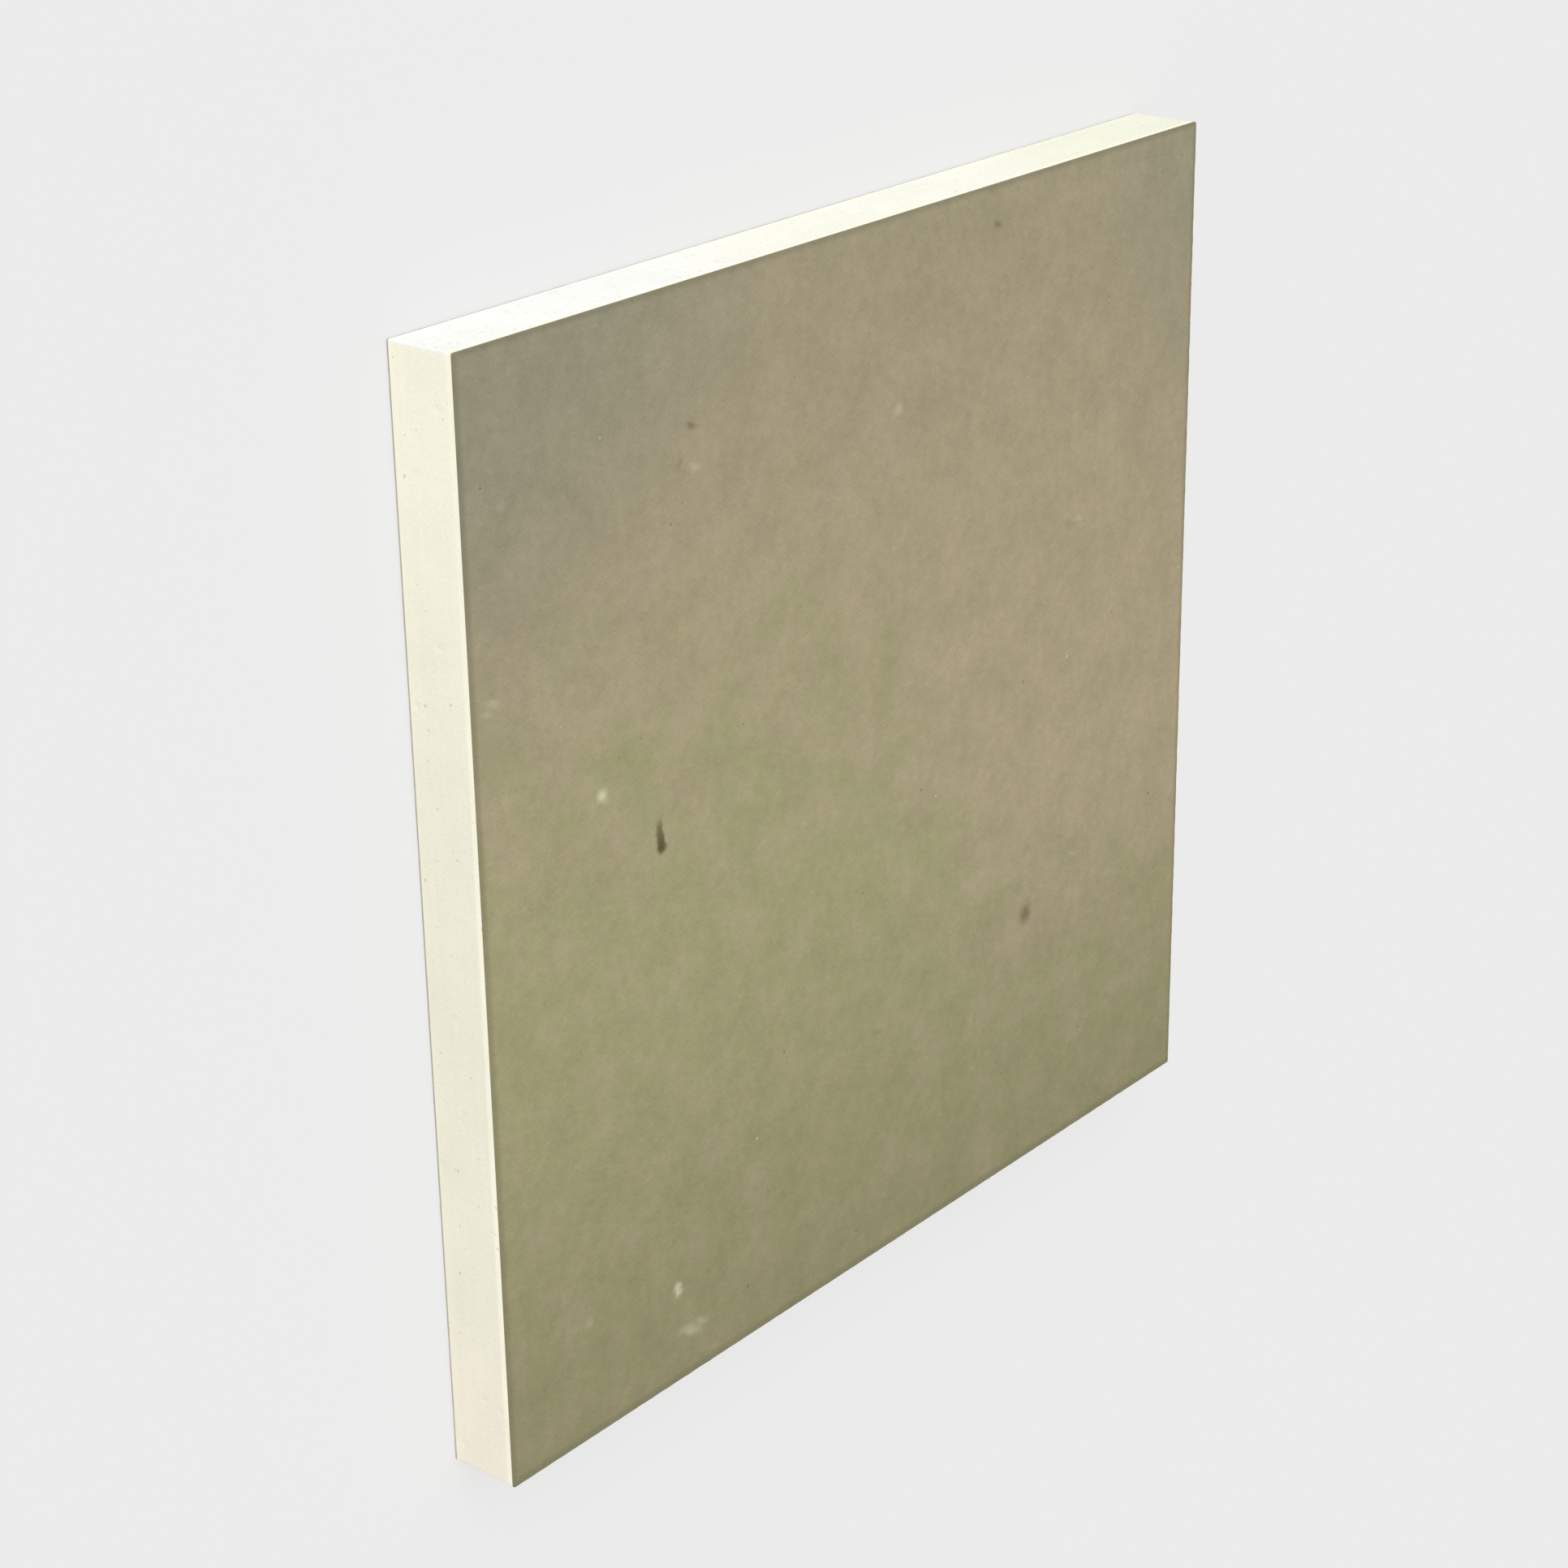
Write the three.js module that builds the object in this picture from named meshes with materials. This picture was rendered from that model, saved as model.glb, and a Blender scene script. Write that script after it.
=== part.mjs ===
// A square-cut piece of drywall: a gypsum core faced on both sides with paper.
// It lies flat with its face paper up. Millimetres, +Z up, and the origin is
// the middle of the underside.
import * as THREE from 'three';

// Driving dimensions
const SIDE = 180; // both ways across the face
const THICKNESS = 12.7; // of the whole board, papers included
const PAPER = 0.375; // each of the two facing papers

const gypsum = new THREE.MeshStandardMaterial({ name: 'gypsum', color: 0xf3f0de, roughness: 0.92, metalness: 0 });
const facePaper = new THREE.MeshStandardMaterial({ name: 'face_paper', color: 0x9e9778, roughness: 0.85, metalness: 0 });
const backPaper = new THREE.MeshStandardMaterial({ name: 'back_paper', color: 0x968f7d, roughness: 0.88, metalness: 0 });

// All layers are sawn through together, so they share this outline and
// their edges are flush.
function cutOutline() {
  const half = SIDE / 2;
  return new THREE.Shape([
    new THREE.Vector2(-half, -half),
    new THREE.Vector2(half, -half),
    new THREE.Vector2(half, half),
    new THREE.Vector2(-half, half),
  ]);
}

// One layer of the laminate, with its underside at the given height.
function layer(name, underside, thickness, material) {
  const geometry = new THREE.ExtrudeGeometry(cutOutline(), { depth: thickness, bevelEnabled: false });
  const mesh = new THREE.Mesh(geometry, material);
  mesh.name = name;
  mesh.position.z = underside;
  return mesh;
}

const drywall = new THREE.Group();
drywall.add(
  layer('back_paper', 0, PAPER, backPaper),
  layer('gypsum_core', PAPER, THICKNESS - 2 * PAPER, gypsum),
  layer('face_paper', THICKNESS - PAPER, PAPER, facePaper),
);

export default drywall;
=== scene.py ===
# A square-cut piece of drywall lying on a pale floor, face paper up.
import math

import bmesh
import bpy
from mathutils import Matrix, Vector


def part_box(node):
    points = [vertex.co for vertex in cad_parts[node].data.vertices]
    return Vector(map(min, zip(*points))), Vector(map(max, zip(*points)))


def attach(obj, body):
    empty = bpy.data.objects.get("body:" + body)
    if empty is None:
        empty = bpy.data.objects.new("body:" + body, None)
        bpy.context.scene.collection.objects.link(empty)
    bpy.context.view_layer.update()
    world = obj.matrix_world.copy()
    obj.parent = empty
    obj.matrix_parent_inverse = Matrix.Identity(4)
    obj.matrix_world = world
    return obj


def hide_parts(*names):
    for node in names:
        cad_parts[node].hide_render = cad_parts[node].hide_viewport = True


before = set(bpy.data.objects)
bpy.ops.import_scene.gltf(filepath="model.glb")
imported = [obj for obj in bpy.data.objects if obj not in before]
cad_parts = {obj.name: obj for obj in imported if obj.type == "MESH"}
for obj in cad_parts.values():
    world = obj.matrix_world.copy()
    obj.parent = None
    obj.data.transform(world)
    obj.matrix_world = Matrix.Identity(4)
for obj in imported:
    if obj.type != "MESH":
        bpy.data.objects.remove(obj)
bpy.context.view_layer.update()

scene = bpy.context.scene


# ---- Camera ----
# It stands off the far left corner of the board and looks down across the
# face, turned on its side so that the left cut edge stands upright in view.
camera_place = Vector((-0.40601, 0.21538, 0.33417))
camera_target = Vector((-0.02245, 0.00501, 0.01262))
camera_roll = math.radians(107.011)
camera_angle = math.radians(25.555)

bpy.ops.object.camera_add(location=camera_place)
camera = bpy.context.object
camera.name = "camera"
camera.rotation_euler = (camera_target - camera_place).to_track_quat("-Z", "Y").to_euler()
camera.rotation_euler.rotate_axis("Z", camera_roll)
camera.data.angle = camera_angle
camera.data.clip_start = 0.01
scene.camera = camera


# ---- Light ----
# An even white surround does most of the work. A wide soft lamp off the far
# left corner lights the far edge a little more than the left one.
SURROUND_LEVEL = 0.70
LAMP_LEVEL = 0.48
LAMP_SPREAD = math.radians(60)
WHITE = (1, 1, 1, 1)
BACKGROUND = (0.838, 0.838, 0.838, 1)  # the pale grey of floor and surround, as light

lamp_direction = Vector((-0.20, 0.32, 0.30)).normalized()
bpy.ops.object.light_add(type="SUN", location=lamp_direction)
lamp = bpy.context.object
lamp.name = "soft_lamp"
lamp.rotation_euler = (-lamp_direction).to_track_quat("-Z", "Y").to_euler()
lamp.data.energy = LAMP_LEVEL * math.pi
lamp.data.angle = LAMP_SPREAD


def add_node(tree, kind, inputs, **options):
    """A shader node with its options, and its inputs set to values or linked to outputs."""
    made = tree.nodes.new(kind)
    for option, value in options.items():
        setattr(made, option, value)
    for name, value in inputs.items():
        if isinstance(value, bpy.types.NodeSocket):
            tree.links.new(value, made.inputs[name])
        else:
            made.inputs[name].default_value = value
    return made


def combine(tree, how, *values):
    """Two or three values put together by a Math node's operation."""
    return add_node(tree, "ShaderNodeMath", dict(enumerate(values)), operation=how).outputs[0]


def shows_background(tree):
    """1 for a ray that shows what lies behind: from the camera itself, or by a shiny or clear thing."""
    rays = add_node(tree, "ShaderNodeLightPath", {}).outputs
    indirect = combine(tree, "MAXIMUM", rays["Is Glossy Ray"], rays["Is Transmission Ray"])
    return combine(tree, "MAXIMUM", rays["Is Camera Ray"], indirect)


surround = bpy.data.worlds.new("white_surround")
surround.use_nodes = True
scene.world = surround
sky = surround.node_tree
sky.nodes.clear()
lighting = add_node(sky, "ShaderNodeBackground", {"Color": WHITE, "Strength": SURROUND_LEVEL}).outputs[0]
seen = add_node(sky, "ShaderNodeBackground", {"Color": BACKGROUND, "Strength": 1}).outputs[0]
either = add_node(sky, "ShaderNodeMixShader", {0: shows_background(sky), 1: lighting, 2: seen}).outputs[0]
add_node(sky, "ShaderNodeOutputWorld", {"Surface": either})

scene.view_settings.view_transform = "Standard"


# ---- Floor ----
# A wide, plain, pale surface under the board. It isn't part of the object.
# As it is seen, most of its light is even, which softens the shadow on it.
FLOOR_SIDE = 8
EVEN_SHARE = 0.7

bpy.ops.mesh.primitive_plane_add(size=FLOOR_SIDE, location=(0, 0, 0))
floor = bpy.context.object
floor.name = "floor"
floor_finish = bpy.data.materials.new("pale_floor")
floor_finish.use_nodes = True
under = floor_finish.node_tree
under.nodes.clear()
matte = add_node(under, "ShaderNodeBsdfDiffuse", {"Color": BACKGROUND}).outputs[0]
even = add_node(under, "ShaderNodeEmission", {"Color": BACKGROUND}).outputs[0]
even_part = combine(under, "MULTIPLY", shows_background(under), EVEN_SHARE)
either = add_node(under, "ShaderNodeMixShader", {0: even_part, 1: matte, 2: even}).outputs[0]
add_node(under, "ShaderNodeOutputMaterial", {"Surface": either})
floor.data.materials.append(floor_finish)


# ---- Gypsum core ----
# The set plaster between the papers: a pale foam, cast in one pour. The piece
# was sawn from a larger board, so all four edges are bare core, flat and
# square but with faint saw waves, a sandy grain and the odd burst bubble.
MM = 0.001
HAIR = 0.01 * MM  # what is closer than this is in the same place
CORNER_WEAR = 0.25 * MM  # rounding of the upright corners by handling
CORNER_FACETS = 3
BOND_WIDTH = 0.9 * MM  # beside each paper the sawn core stays true
WALL_CUTS_UP = 24
WALL_CUTS_ALONG = (19, 19)  # each side is cut in 20, and each of those in 20 again
SMOOTH_BELOW = math.radians(50)  # edges that turn less than this are shaded as a curve

core_low, core_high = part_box("gypsum_core")
bpy.ops.object.select_all(action="DESELECT")
bpy.ops.mesh.primitive_cube_add(size=1, location=(core_low + core_high) / 2, scale=core_high - core_low)
core = bpy.context.object
core.name = "core"
bpy.ops.object.transform_apply(location=True, rotation=True, scale=True)


def select_only(kind, wanted):
    """In edit mode, selects the verts, edges or faces that pass the test and nothing else."""
    bpy.ops.mesh.select_mode(type=kind)
    bpy.ops.mesh.select_all(action="DESELECT")
    mesh = bmesh.from_edit_mesh(bpy.context.object.data)
    for item in {"VERT": mesh.verts, "EDGE": mesh.edges, "FACE": mesh.faces}[kind]:
        if wanted(item):
            item.select_set(True)
    bmesh.update_edit_mesh(bpy.context.object.data)


def upright(edge):
    """True for an edge that runs straight up."""
    first, second = edge.verts
    return abs(first.co.z - second.co.z) > edge.calc_length() - HAIR


def level_and_long(edge):
    """True for a level edge along a side, and not for those round a corner."""
    return not upright(edge) and edge.calc_length() > CORNER_WEAR


# The ends are opened, so that only the four walls are cut into fine cells.
bpy.ops.object.mode_set(mode="EDIT")
select_only("EDGE", upright)
bpy.ops.mesh.bevel(offset=CORNER_WEAR, segments=CORNER_FACETS)
select_only("FACE", lambda face: not any(upright(edge) for edge in face.edges))
bpy.ops.mesh.delete(type="ONLY_FACE")
select_only("EDGE", upright)
bpy.ops.mesh.subdivide(number_cuts=WALL_CUTS_UP)
for cuts in WALL_CUTS_ALONG:
    select_only("EDGE", level_and_long)
    bpy.ops.mesh.subdivide(number_cuts=cuts)
for height in (core_low.z, core_high.z):
    select_only("EDGE", lambda edge: edge.is_boundary and abs(edge.verts[0].co.z - height) < HAIR)
    bpy.ops.mesh.edge_face_add()
bpy.ops.mesh.select_all(action="SELECT")
bpy.ops.mesh.normals_make_consistent(inside=False)
bpy.ops.object.mode_set(mode="OBJECT")

sawn = core.vertex_groups.new(name="sawn")
for vertex in core.data.vertices:
    from_paper = min(vertex.co.z - core_low.z, core_high.z - vertex.co.z)
    sawn.add([vertex.index], min(1, from_paper / BOND_WIDTH), "REPLACE")


def carve(piece, group, texture, depth):
    """Pushes the group's surface in by up to depth, where the texture is bright."""
    relief = piece.modifiers.new("relief", "DISPLACE")
    relief.texture = texture
    relief.texture_coords = "LOCAL"
    relief.vertex_group = group
    relief.mid_level = 0
    relief.strength = -depth
    bpy.ops.object.select_all(action="DESELECT")
    piece.select_set(True)
    bpy.context.view_layer.objects.active = piece
    bpy.ops.object.modifier_apply(modifier=relief.name)


def clouds(name, size, layers=2):
    """Soft random hills about size across."""
    texture = bpy.data.textures.new(name, "CLOUDS")
    texture.noise_scale = size
    texture.noise_depth = layers
    return texture


def bubbles(name, spacing, share):
    """Round dimples spacing apart, each share of that spacing in radius."""
    texture = bpy.data.textures.new(name, "VORONOI")
    texture.noise_scale = spacing
    texture.use_color_ramp = True
    steps = texture.color_ramp.elements
    steps[0].position, steps[0].color = 0, (1, 1, 1, 1)
    steps[1].position, steps[1].color = share, (0, 0, 0, 1)
    return texture


carve(core, "sawn", clouds("saw_waves", size=11 * MM), depth=0.12 * MM)
carve(core, "sawn", clouds("sandy_grain", size=0.9 * MM, layers=3), depth=0.07 * MM)
carve(core, "sawn", bubbles("burst_bubbles", spacing=5 * MM, share=0.14), depth=0.35 * MM)
bpy.ops.object.shade_smooth_by_angle(angle=SMOOTH_BELOW)


def on_screen(red, green, blue):
    """A colour given as it looks on screen, 0 to 255, as the shader's own numbers."""
    def linear(value):
        value /= 255
        return value / 12.92 if value <= 0.04045 else ((value + 0.055) / 1.055) ** 2.4
    return (linear(red), linear(green), linear(blue), 1)


def place_in_mm(tree):
    """The point on the piece, in millimetres from the part's origin."""
    point = add_node(tree, "ShaderNodeTexCoord", {}).outputs["Object"]
    inputs = {0: point, "Scale": 1 / MM}
    return add_node(tree, "ShaderNodeVectorMath", inputs, operation="SCALE").outputs[0]


def apart(tree, place):
    """The three numbers of a place: across, up the face, and height."""
    return add_node(tree, "ShaderNodeSeparateXYZ", {"Vector": place}).outputs


def measured(tree, place, scale, turn=0, middle=(0, 0, 0)):
    """The place measured from a middle, in units of scale, along axes turned by turn degrees about Z."""
    inputs = {"Vector": place, "Location": middle, "Rotation": (0, 0, math.radians(turn)), "Scale": scale}
    return add_node(tree, "ShaderNodeMapping", inputs, vector_type="TEXTURE").outputs[0]


def patches(tree, place, size, detail=0.0, flat="3D"):
    """Random patches about size across, from 0 to 1 and mostly near a half."""
    inputs = {"Vector": place, "Scale": 1 / size, "Detail": detail}
    return add_node(tree, "ShaderNodeTexNoise", inputs, noise_dimensions=flat).outputs["Fac"]


def fade(tree, value, start, end, top=1.0):
    """0 up to start, easing to top at end. Start may be the higher of the two."""
    inputs = {"Value": value, "From Min": min(start, end), "From Max": max(start, end)}
    inputs["To Min"], inputs["To Max"] = (0, top) if start < end else (top, 0)
    return add_node(tree, "ShaderNodeMapRange", inputs, interpolation_type="SMOOTHSTEP").outputs[0]


def specks(tree, place, spacing, rarity, size, softness=0.06, flat="2D"):
    """Small round bits or holes, spacing apart: only some are there, and none is larger than size."""
    inputs = {"Vector": place, "Scale": 1 / spacing}
    bits = add_node(tree, "ShaderNodeTexVoronoi", inputs, voronoi_dimensions=flat).outputs
    radius = fade(tree, bits["Color"], rarity, 1.0, top=size / spacing / 2)
    return fade(tree, combine(tree, "SUBTRACT", bits["Distance"], radius), 0, -softness)


def swing(tree, pattern, amount, middle=1):
    """A pattern between 0 and 1 made into a value that swings about the middle."""
    return combine(tree, "MULTIPLY_ADD", pattern, amount, middle - amount / 2)


def shaded(tree, colour, *shades):
    """The colour made lighter and darker by each of the shades."""
    for shade in shades:
        inputs = {0: colour, "Scale": shade}
        colour = add_node(tree, "ShaderNodeVectorMath", inputs, operation="SCALE").outputs[0]
    return colour


def over(tree, below, above, amount):
    """One colour laid over another by amount."""
    mix = add_node(tree, "ShaderNodeMix", {0: amount}, data_type="RGBA")
    for index, colour in ((6, below), (7, above)):
        if isinstance(colour, bpy.types.NodeSocket):
            tree.links.new(colour, mix.inputs[index])
        else:
            mix.inputs[index].default_value = colour
    return mix.outputs[2]


def matte_finish(tree, colour, height, relief_depth):
    """Joins the colour and height patterns to a dull, dry shader."""
    shader = tree.nodes["Principled BSDF"]
    shader.inputs["Roughness"].default_value = 1.0
    shader.inputs["Specular IOR Level"].default_value = 0.1
    bump = add_node(tree, "ShaderNodeBump", {"Height": height, "Distance": relief_depth, "Strength": 1.0})
    tree.links.new(colour, shader.inputs["Base Color"])
    tree.links.new(bump.outputs["Normal"], shader.inputs["Normal"])


# Cream plaster: cloudy, grained like fine sand, with painted shade in its
# pinholes and faint streaks along the saw's path. All sizes and places are mm.
HALF_SIDE = core_high.x / MM
CORE_TOP = core_high.z / MM
NEAR_CREAM = on_screen(238, 235, 217)
FAR_LIT_CREAM = on_screen(250, 247, 228)
WARM_CREAM = on_screen(244, 234, 217)
# Painted light on the far edge: whitest at its left end, dullest at its right.
FAR_EDGE_LIGHT = on_screen(242, 242, 230)
FAR_EDGE_LIGHT_LEFT = on_screen(243, 243, 239)
FAR_EDGE_LIGHT_RIGHT = on_screen(236, 237, 219)
# Painted highlight along the top edge of the core, under the face paper.
ARRIS_HIGHLIGHT_CREAM = on_screen(254, 251, 231)
ARRIS_HIGHLIGHT_START = CORE_TOP - 1.425
ARRIS_HIGHLIGHT_FADE = 0.7
# Painted shade inside the pinholes.
PAINTED_PINHOLE_SHADE = on_screen(196, 188, 162)

plaster = bpy.data.materials.new("sawn_gypsum")
plaster.use_nodes = True
tree = plaster.node_tree
place = place_in_mm(tree)
x, y, z = apart(tree, place)
cloud = patches(tree, place, size=12, detail=1)
grain = patches(tree, place, size=0.45, detail=2)
saw_streak = patches(tree, measured(tree, place, scale=(26, 26, 0.9)), size=1, detail=1)
pinhole = specks(tree, place, spacing=1.2, rarity=0.45, size=0.72, softness=0.12, flat="3D")

# Painted light makes it paler towards the far side; it is warmer in the near left corner.
cream = over(tree, NEAR_CREAM, FAR_LIT_CREAM, fade(tree, y, -10, 115))
near_left = combine(tree, "MULTIPLY", fade(tree, y, -58, -94, top=0.8), fade(tree, x, -62, -88))
cream = over(tree, cream, WARM_CREAM, near_left)

# Painted light makes the far edge whiter, most at its left end and least at
# its right.
far_edge = fade(tree, y, HALF_SIDE - 0.7, HALF_SIDE - 0.1)
far_edge_light = over(tree, FAR_EDGE_LIGHT, FAR_EDGE_LIGHT_LEFT, fade(tree, x, -8, -50))
far_edge_light = over(tree, far_edge_light, FAR_EDGE_LIGHT_RIGHT, fade(tree, x, 30, 66))
cream = over(tree, cream, far_edge_light, far_edge)

# A painted highlight: a thin paler band along the top edge of the core, under the face paper.
arris_highlight = fade(tree, z, ARRIS_HIGHLIGHT_START, ARRIS_HIGHLIGHT_START + ARRIS_HIGHLIGHT_FADE, top=0.85)
cream = over(tree, cream, ARRIS_HIGHLIGHT_CREAM, arris_highlight)

cream = shaded(tree, cream, swing(tree, cloud, 0.09), swing(tree, grain, 0.11), swing(tree, saw_streak, 0.05))

# The painted shade in the pinholes is lighter on the far edge, under its painted light.
painted_hole_shade = combine(tree, "MULTIPLY_ADD", far_edge, -0.3, 0.5)
cream = over(tree, cream, PAINTED_PINHOLE_SHADE, combine(tree, "MULTIPLY", pinhole, painted_hole_shade))
matte_finish(tree, cream, combine(tree, "SUBTRACT", grain, pinhole), relief_depth=0.06 * MM)
core.data.materials.append(plaster)

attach(core, "root")
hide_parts("gypsum_core")


# ---- Face paper ----
# Grey-tan liner of recycled fibre, bonded to the core as the board was cast.
# The saw left its cut border slightly ragged, and the sheet cockles a little.
FACE_CELLS = 280
WALL_ROWS = 3
BORDER_WIDTH = 0.1 * MM


def lay_paper(name, node, cells, outward):
    """Models one facing paper: a fine sheet with walls down to the core, closed at the bond."""
    low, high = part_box(node)
    outer, bond = (high.z, low.z) if outward > 0 else (low.z, high.z)
    bpy.ops.object.select_all(action="DESELECT")
    bpy.ops.mesh.primitive_grid_add(
        x_subdivisions=cells, y_subdivisions=cells, size=high.x - low.x, location=(0, 0, outer)
    )
    sheet = bpy.context.object
    sheet.name = name
    bpy.ops.object.transform_apply(location=True, rotation=True, scale=True)
    bpy.ops.object.mode_set(mode="EDIT")
    select_only("VERT", lambda vert: abs(abs(vert.co.x) - high.x) + abs(abs(vert.co.y) - high.y) < HAIR)
    bpy.ops.mesh.bevel(offset=CORNER_WEAR, segments=CORNER_FACETS, affect="VERTICES")
    select_only("EDGE", lambda edge: edge.is_boundary)
    for _ in range(WALL_ROWS):
        bpy.ops.mesh.extrude_edges_move(TRANSFORM_OT_translate={"value": (0, 0, (bond - outer) / WALL_ROWS)})
    bpy.ops.mesh.edge_face_add()
    bpy.ops.mesh.select_all(action="SELECT")
    bpy.ops.mesh.normals_make_consistent(inside=False)
    bpy.ops.object.mode_set(mode="OBJECT")

    border = sheet.vertex_groups.new(name="cut_border")
    broad_side = sheet.vertex_groups.new(name="broad_side")
    for vertex in sheet.data.vertices:
        to_border = min(high.x - abs(vertex.co.x), high.y - abs(vertex.co.y))
        from_bond = abs(vertex.co.z - bond) / abs(outer - bond)
        if to_border < BORDER_WIDTH:
            border.add([vertex.index], from_bond, "REPLACE")
        elif from_bond > 0.5:
            broad_side.add([vertex.index], 1, "REPLACE")
    return sheet


face = lay_paper("face_sheet", "face_paper", FACE_CELLS, outward=1)
carve(face, "cut_border", clouds("ragged_cut", size=1.3 * MM, layers=3), depth=0.14 * MM)
carve(face, "broad_side", clouds("cockle", size=24 * MM), depth=0.05 * MM)
carve(face, "broad_side", clouds("fibre_clumps", size=2.2 * MM), depth=0.02 * MM)
bpy.ops.object.shade_smooth_by_angle(angle=SMOOTH_BELOW)

STRAND_SETS = ((8, 0.06), (-38, -0.055), (64, 0.05))  # degrees turned, and how much lighter than the rest


def pulp_texture(tree, place, clump):
    """How the felted fibres shade the paper and stand up from it, by patches about clump wide."""
    formation = patches(tree, place, size=clump, detail=1, flat="2D")
    drift = patches(tree, place, size=3.4 * clump, flat="2D")
    felt = patches(tree, place, size=0.6, detail=2, flat="2D")
    shade = combine(tree, "MULTIPLY", swing(tree, formation, 0.15), swing(tree, drift, 0.12))
    shade = combine(tree, "MULTIPLY", shade, swing(tree, felt, 0.09))
    height = felt
    for turn, tone in STRAND_SETS:
        strand = patches(tree, measured(tree, place, scale=(2.4, 0.24, 1), turn=turn), size=1, flat="2D")
        strand = fade(tree, strand, 0.60, 0.74)  # only the crests of the pattern count
        shade = combine(tree, "MULTIPLY_ADD", strand, tone, shade)
        height = combine(tree, "MULTIPLY_ADD", strand, 0.3, height)
    return shade, height


def distance(tree, place, middle=(0, 0, 0)):
    """How far the place is from a middle."""
    inputs = {0: place, 1: middle}
    return add_node(tree, "ShaderNodeVectorMath", inputs, operation="DISTANCE").outputs["Value"]


def out_to_side(tree, x, y):
    """How far a place is from the middle of the sheet, towards the cut side nearest to it."""
    return combine(tree, "MAXIMUM", combine(tree, "ABSOLUTE", x), combine(tree, "ABSOLUTE", y))


GRAIN_TURN = -22  # degrees from the near side to the way that the long marks lie


def marks(tree, place, spots):
    """The strongest of the spots at each point. At half strength, each is as long and wide as stated."""
    strongest = None
    for across, up, long, wide, strength in spots:
        own = measured(tree, place, (long, wide, 1), GRAIN_TURN, (across, up, 0))
        spot = fade(tree, distance(tree, own), 1, 0, top=strength)
        strongest = spot if strongest is None else combine(tree, "MAXIMUM", strongest, spot)
    return strongest


def sliver(tree, place, across, up, long, wide, lean):
    """How dark a splinter is: wide, dark and blunt at its foot, and fading out at its tip."""
    own = measured(tree, place, (wide / 2, long / 2, 1), lean, (across, up, 0))
    from_axis, along, _ = apart(tree, own)
    narrowing = combine(tree, "MULTIPLY_ADD", along, 0.28, 0.9)
    from_axis = combine(tree, "MULTIPLY", combine(tree, "ABSOLUTE", from_axis), narrowing)
    foot = fade(tree, along, -1.1, -0.6)
    tip = fade(tree, along, 1.1, 0.45)
    tone = combine(tree, "MULTIPLY_ADD", along, -0.3, 0.75)
    darkness = combine(tree, "MULTIPLY", fade(tree, from_axis, 1, 0.3), combine(tree, "MULTIPLY", foot, tip))
    return combine(tree, "MULTIPLY", darkness, tone)


# Each larger mark in the paper: mm across and up from the middle, mm long and
# wide, and how strong it is. The longer ones lie along the paper's grain. The
# sliver of bark is made by itself.
DARK_MARKS = [
    (42.6, -41.6, 2.7, 2.9, 0.56), (-42.1, 68.4, 2.0, 1.0, 0.45), (33.0, 83.5, 1.9, 1.1, 0.46),
    (-45.1, 63.1, 1.0, 1.6, 0.20), (68.2, 47.2, 4.0, 1.8, 0.08), (54.1, 27.4, 3.6, 1.3, 0.16),
    (-60.9, -14.6, 1.3, 1.4, 0.10), (0.6, -47.9, 2.2, 1.0, 0.20), (68.6, -67.4, 1.8, 1.4, 0.13),
    (52.9, -30.2, 1.5, 0.7, 0.14),
]
PALE_MARKS = [
    (-64.2, 17.1, 1.7, 1.7, 0.90), (-63.5, 16.2, 1.3, 1.3, 0.25), (-51.1, -72.8, 1.5, 1.5, 0.74),
    (-50.9, -73.5, 1.5, 1.5, 0.72), (-48.4, -81.9, 4.4, 1.5, 0.34), (-45.6, -81.5, 2.6, 1.3, 0.27),
    (7.1, 58.9, 1.6, 1.8, 0.32), (-41.7, 61.9, 2.2, 1.2, 0.26), (-82.3, 66.5, 1.8, 1.3, 0.12),
    (-85.8, 38.4, 2.2, 0.9, 0.27), (-87.2, 37.2, 1.8, 0.9, 0.19), (-84.0, 22.8, 2.4, 1.5, 0.10),
    (-71.9, -69.6, 1.2, 1.7, 0.17), (57.2, 27.8, 1.8, 0.9, 0.20), (57.0, -34.9, 2.4, 0.9, 0.18),
    (55.5, -30.8, 2.0, 0.9, 0.13), (27.0, -56.0, 1.0, 1.8, 0.10),
]
TAN = on_screen(166, 154, 125)
OLIVE = on_screen(158, 154, 117)
PINKISH_TAN = on_screen(169, 153, 129)
SOIL = on_screen(148, 143, 120)
FINE_BARK = on_screen(96, 88, 64)
FINE_BLEACHED = on_screen(206, 202, 176)
BARK = on_screen(84, 71, 40)
BLEACHED = on_screen(208, 205, 175)
DARK_BORDER = on_screen(116, 110, 88)
DARK_BORDER_REACH = 1
NEAR_DARK_BORDER_EXTRA = 0.6
SOILED_CORNER = (-105, 105, 13)
PAINTED_SHADE_START = -18.4  # nearer than this, the painted shade deepens
PAINTED_SHADE_PER_MM = 0.29 / 90

liner = bpy.data.materials.new("face_liner")
liner.use_nodes = True
tree = liner.node_tree
place = place_in_mm(tree)
x, y, _ = apart(tree, place)

# The pulp is tan in the far right half and olive in the near left one, with a
# patchy border between that runs lower on the right.
wander = swing(tree, patches(tree, place, size=13, detail=2, flat="2D"), 90, middle=0)
tint_height = combine(tree, "ADD", combine(tree, "ADD", y, fade(tree, x, -19, 46, top=70)), wander)
pulp = over(tree, TAN, OLIVE, fade(tree, tint_height, 54, -8))
pinkish = fade(tree, patches(tree, place, size=9, detail=1, flat="2D"), 0.5, 0.75, top=0.3)
pulp = over(tree, pulp, PINKISH_TAN, pinkish)

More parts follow.
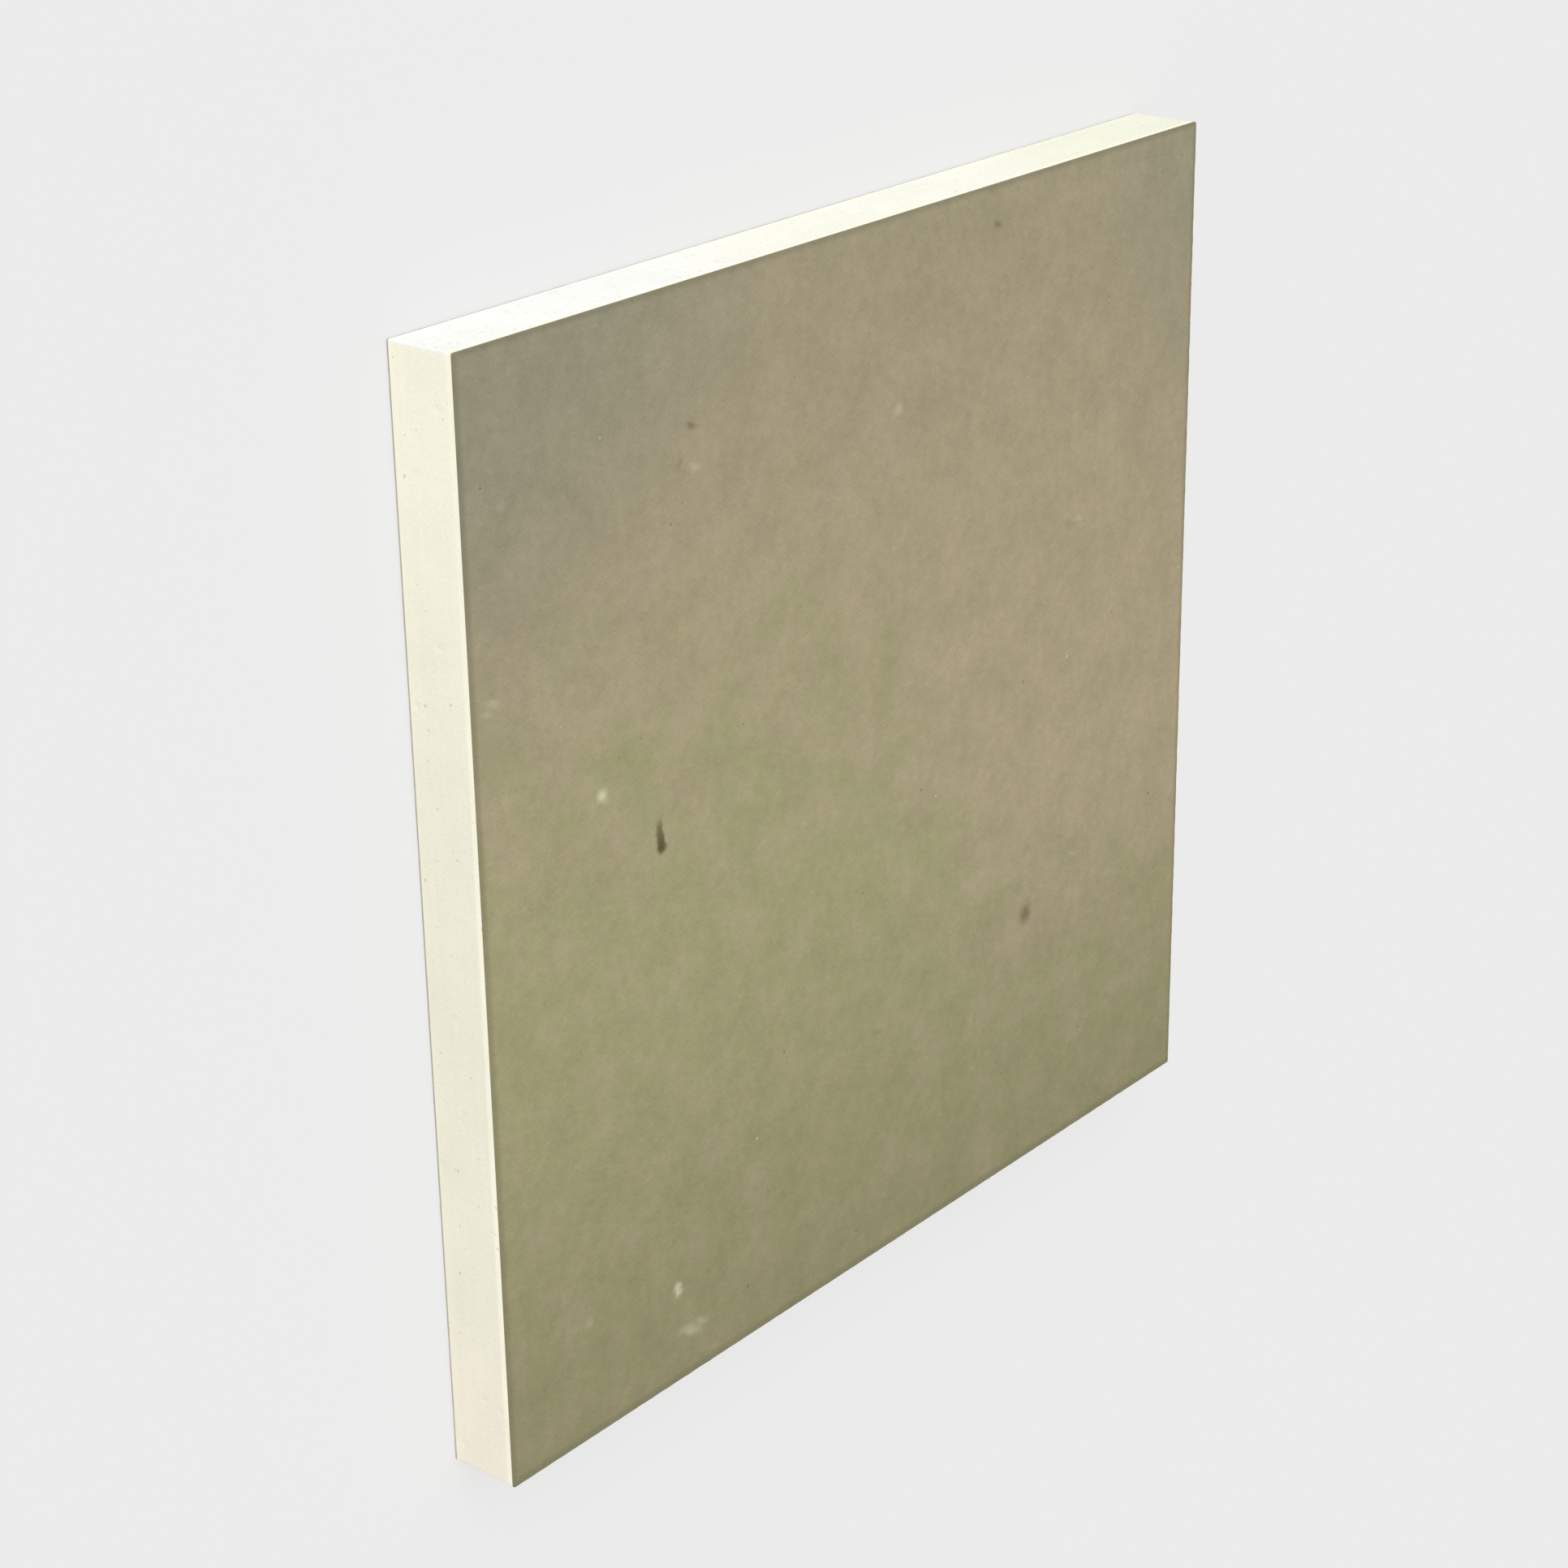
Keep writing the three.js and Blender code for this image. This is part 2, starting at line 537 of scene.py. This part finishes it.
# Handling has greyed the far left corner most, then the far edge and the
# right one. Painted shade darkens the near side.
soiled = fade(tree, distance(tree, place, SOILED_CORNER), 93, 20, top=0.83)
soiled = combine(tree, "ADD", soiled, fade(tree, y, 20, 100, top=0.5))
right_side = combine(tree, "MULTIPLY", fade(tree, x, 55, 100, top=0.53), fade(tree, y, -10, 70))
soiled = combine(tree, "MINIMUM", combine(tree, "ADD", soiled, right_side), 1)
pulp = over(tree, pulp, SOIL, soiled)
# Painted shade, deepening towards the near edge.
to_shade = combine(tree, "MINIMUM", combine(tree, "SUBTRACT", y, PAINTED_SHADE_START), 0)
painted_near_shade = combine(tree, "MULTIPLY_ADD", to_shade, PAINTED_SHADE_PER_MM, 1)

fibre_shade, fibre_height = pulp_texture(tree, place, clump=2.6)
pulp = shaded(tree, pulp, painted_near_shade, fibre_shade)

# Bits of bark, ink and bleached pulp: fine ones scattered, then the larger
# ones, whose outlines the fibres make uneven.
dark_specks = specks(tree, place, spacing=2.6, rarity=0.84, size=0.8)
pale_specks = specks(tree, place, spacing=3.4, rarity=0.86, size=0.9)
pulp = over(tree, pulp, FINE_BARK, combine(tree, "MULTIPLY", dark_specks, 0.5))
pulp = over(tree, pulp, FINE_BLEACHED, combine(tree, "MULTIPLY", pale_specks, 0.5))
tremble = swing(tree, patches(tree, place, size=1.3, detail=1, flat="2D"), 0.8, middle=0)
tremble = add_node(tree, "ShaderNodeCombineXYZ", {"X": tremble, "Y": tremble, "Z": 0}).outputs[0]
uneven = {0: place, 1: (1, 1, 0), 2: tremble}
on_face = add_node(tree, "ShaderNodeVectorMath", uneven, operation="MULTIPLY_ADD").outputs[0]
pulp = over(tree, pulp, BARK, marks(tree, on_face, DARK_MARKS))
pulp = over(tree, pulp, BARK, sliver(tree, on_face, across=-51.75, up=6.3, long=6.4, wide=2.1, lean=5))
pulp = over(tree, pulp, BLEACHED, marks(tree, on_face, PALE_MARKS))

# The cut border is darker, and on the near side the darker band reaches
# further in.
outermost = out_to_side(tree, x, y)
outermost = combine(tree, "MAXIMUM", outermost, combine(tree, "SUBTRACT", NEAR_DARK_BORDER_EXTRA, y))
outermost = combine(tree, "MULTIPLY_ADD", fibre_height, 0.5, outermost)
border_darkening = fade(tree, outermost, HALF_SIDE - DARK_BORDER_REACH, HALF_SIDE + 0.2, top=0.45)
pulp = over(tree, pulp, DARK_BORDER, border_darkening)
matte_finish(tree, pulp, fibre_height, relief_depth=0.02 * MM)
face.data.materials.append(liner)

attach(face, "root")
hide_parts("face_paper")


# ---- Back paper ----
# The plainer, greyer liner of the hidden side, laid and cut in the same way.
# Only its cut edge shows, as a thin grey line along the floor.
BACK_CELLS = 120
GREY_KRAFT = on_screen(156, 149, 134)
DARK_KRAFT = on_screen(144, 137, 121)
BACK_SPECK = on_screen(96, 88, 70)
PLASTER_DUST = on_screen(236, 232, 214)

back = lay_paper("back_sheet", "back_paper", BACK_CELLS, outward=-1)
carve(back, "cut_border", clouds("ragged_back_cut", size=1.6 * MM, layers=3), depth=0.14 * MM)
bpy.ops.object.shade_smooth_by_angle(angle=SMOOTH_BELOW)

rough_liner = bpy.data.materials.new("back_liner")
rough_liner.use_nodes = True
tree = rough_liner.node_tree
place = place_in_mm(tree)
darker = fade(tree, patches(tree, place, size=35, detail=1, flat="2D"), 0.3, 0.8)
kraft = over(tree, GREY_KRAFT, DARK_KRAFT, darker)
fibre_shade, fibre_height = pulp_texture(tree, place, clump=3.4)
kraft = shaded(tree, kraft, fibre_shade)
back_specks = specks(tree, place, spacing=2.2, rarity=0.8, size=0.9)
kraft = over(tree, kraft, BACK_SPECK, combine(tree, "MULTIPLY", back_specks, 0.5))

# Plaster dust from the saw has stuck to the cut border.
x, y, _ = apart(tree, place)
dusted = fade(tree, out_to_side(tree, x, y), HALF_SIDE - 0.6, HALF_SIDE - 0.2, top=0.3)
kraft = over(tree, kraft, PLASTER_DUST, dusted)
matte_finish(tree, kraft, fibre_height, relief_depth=0.03 * MM)
back.data.materials.append(rough_liner)

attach(back, "root")
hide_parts("back_paper")
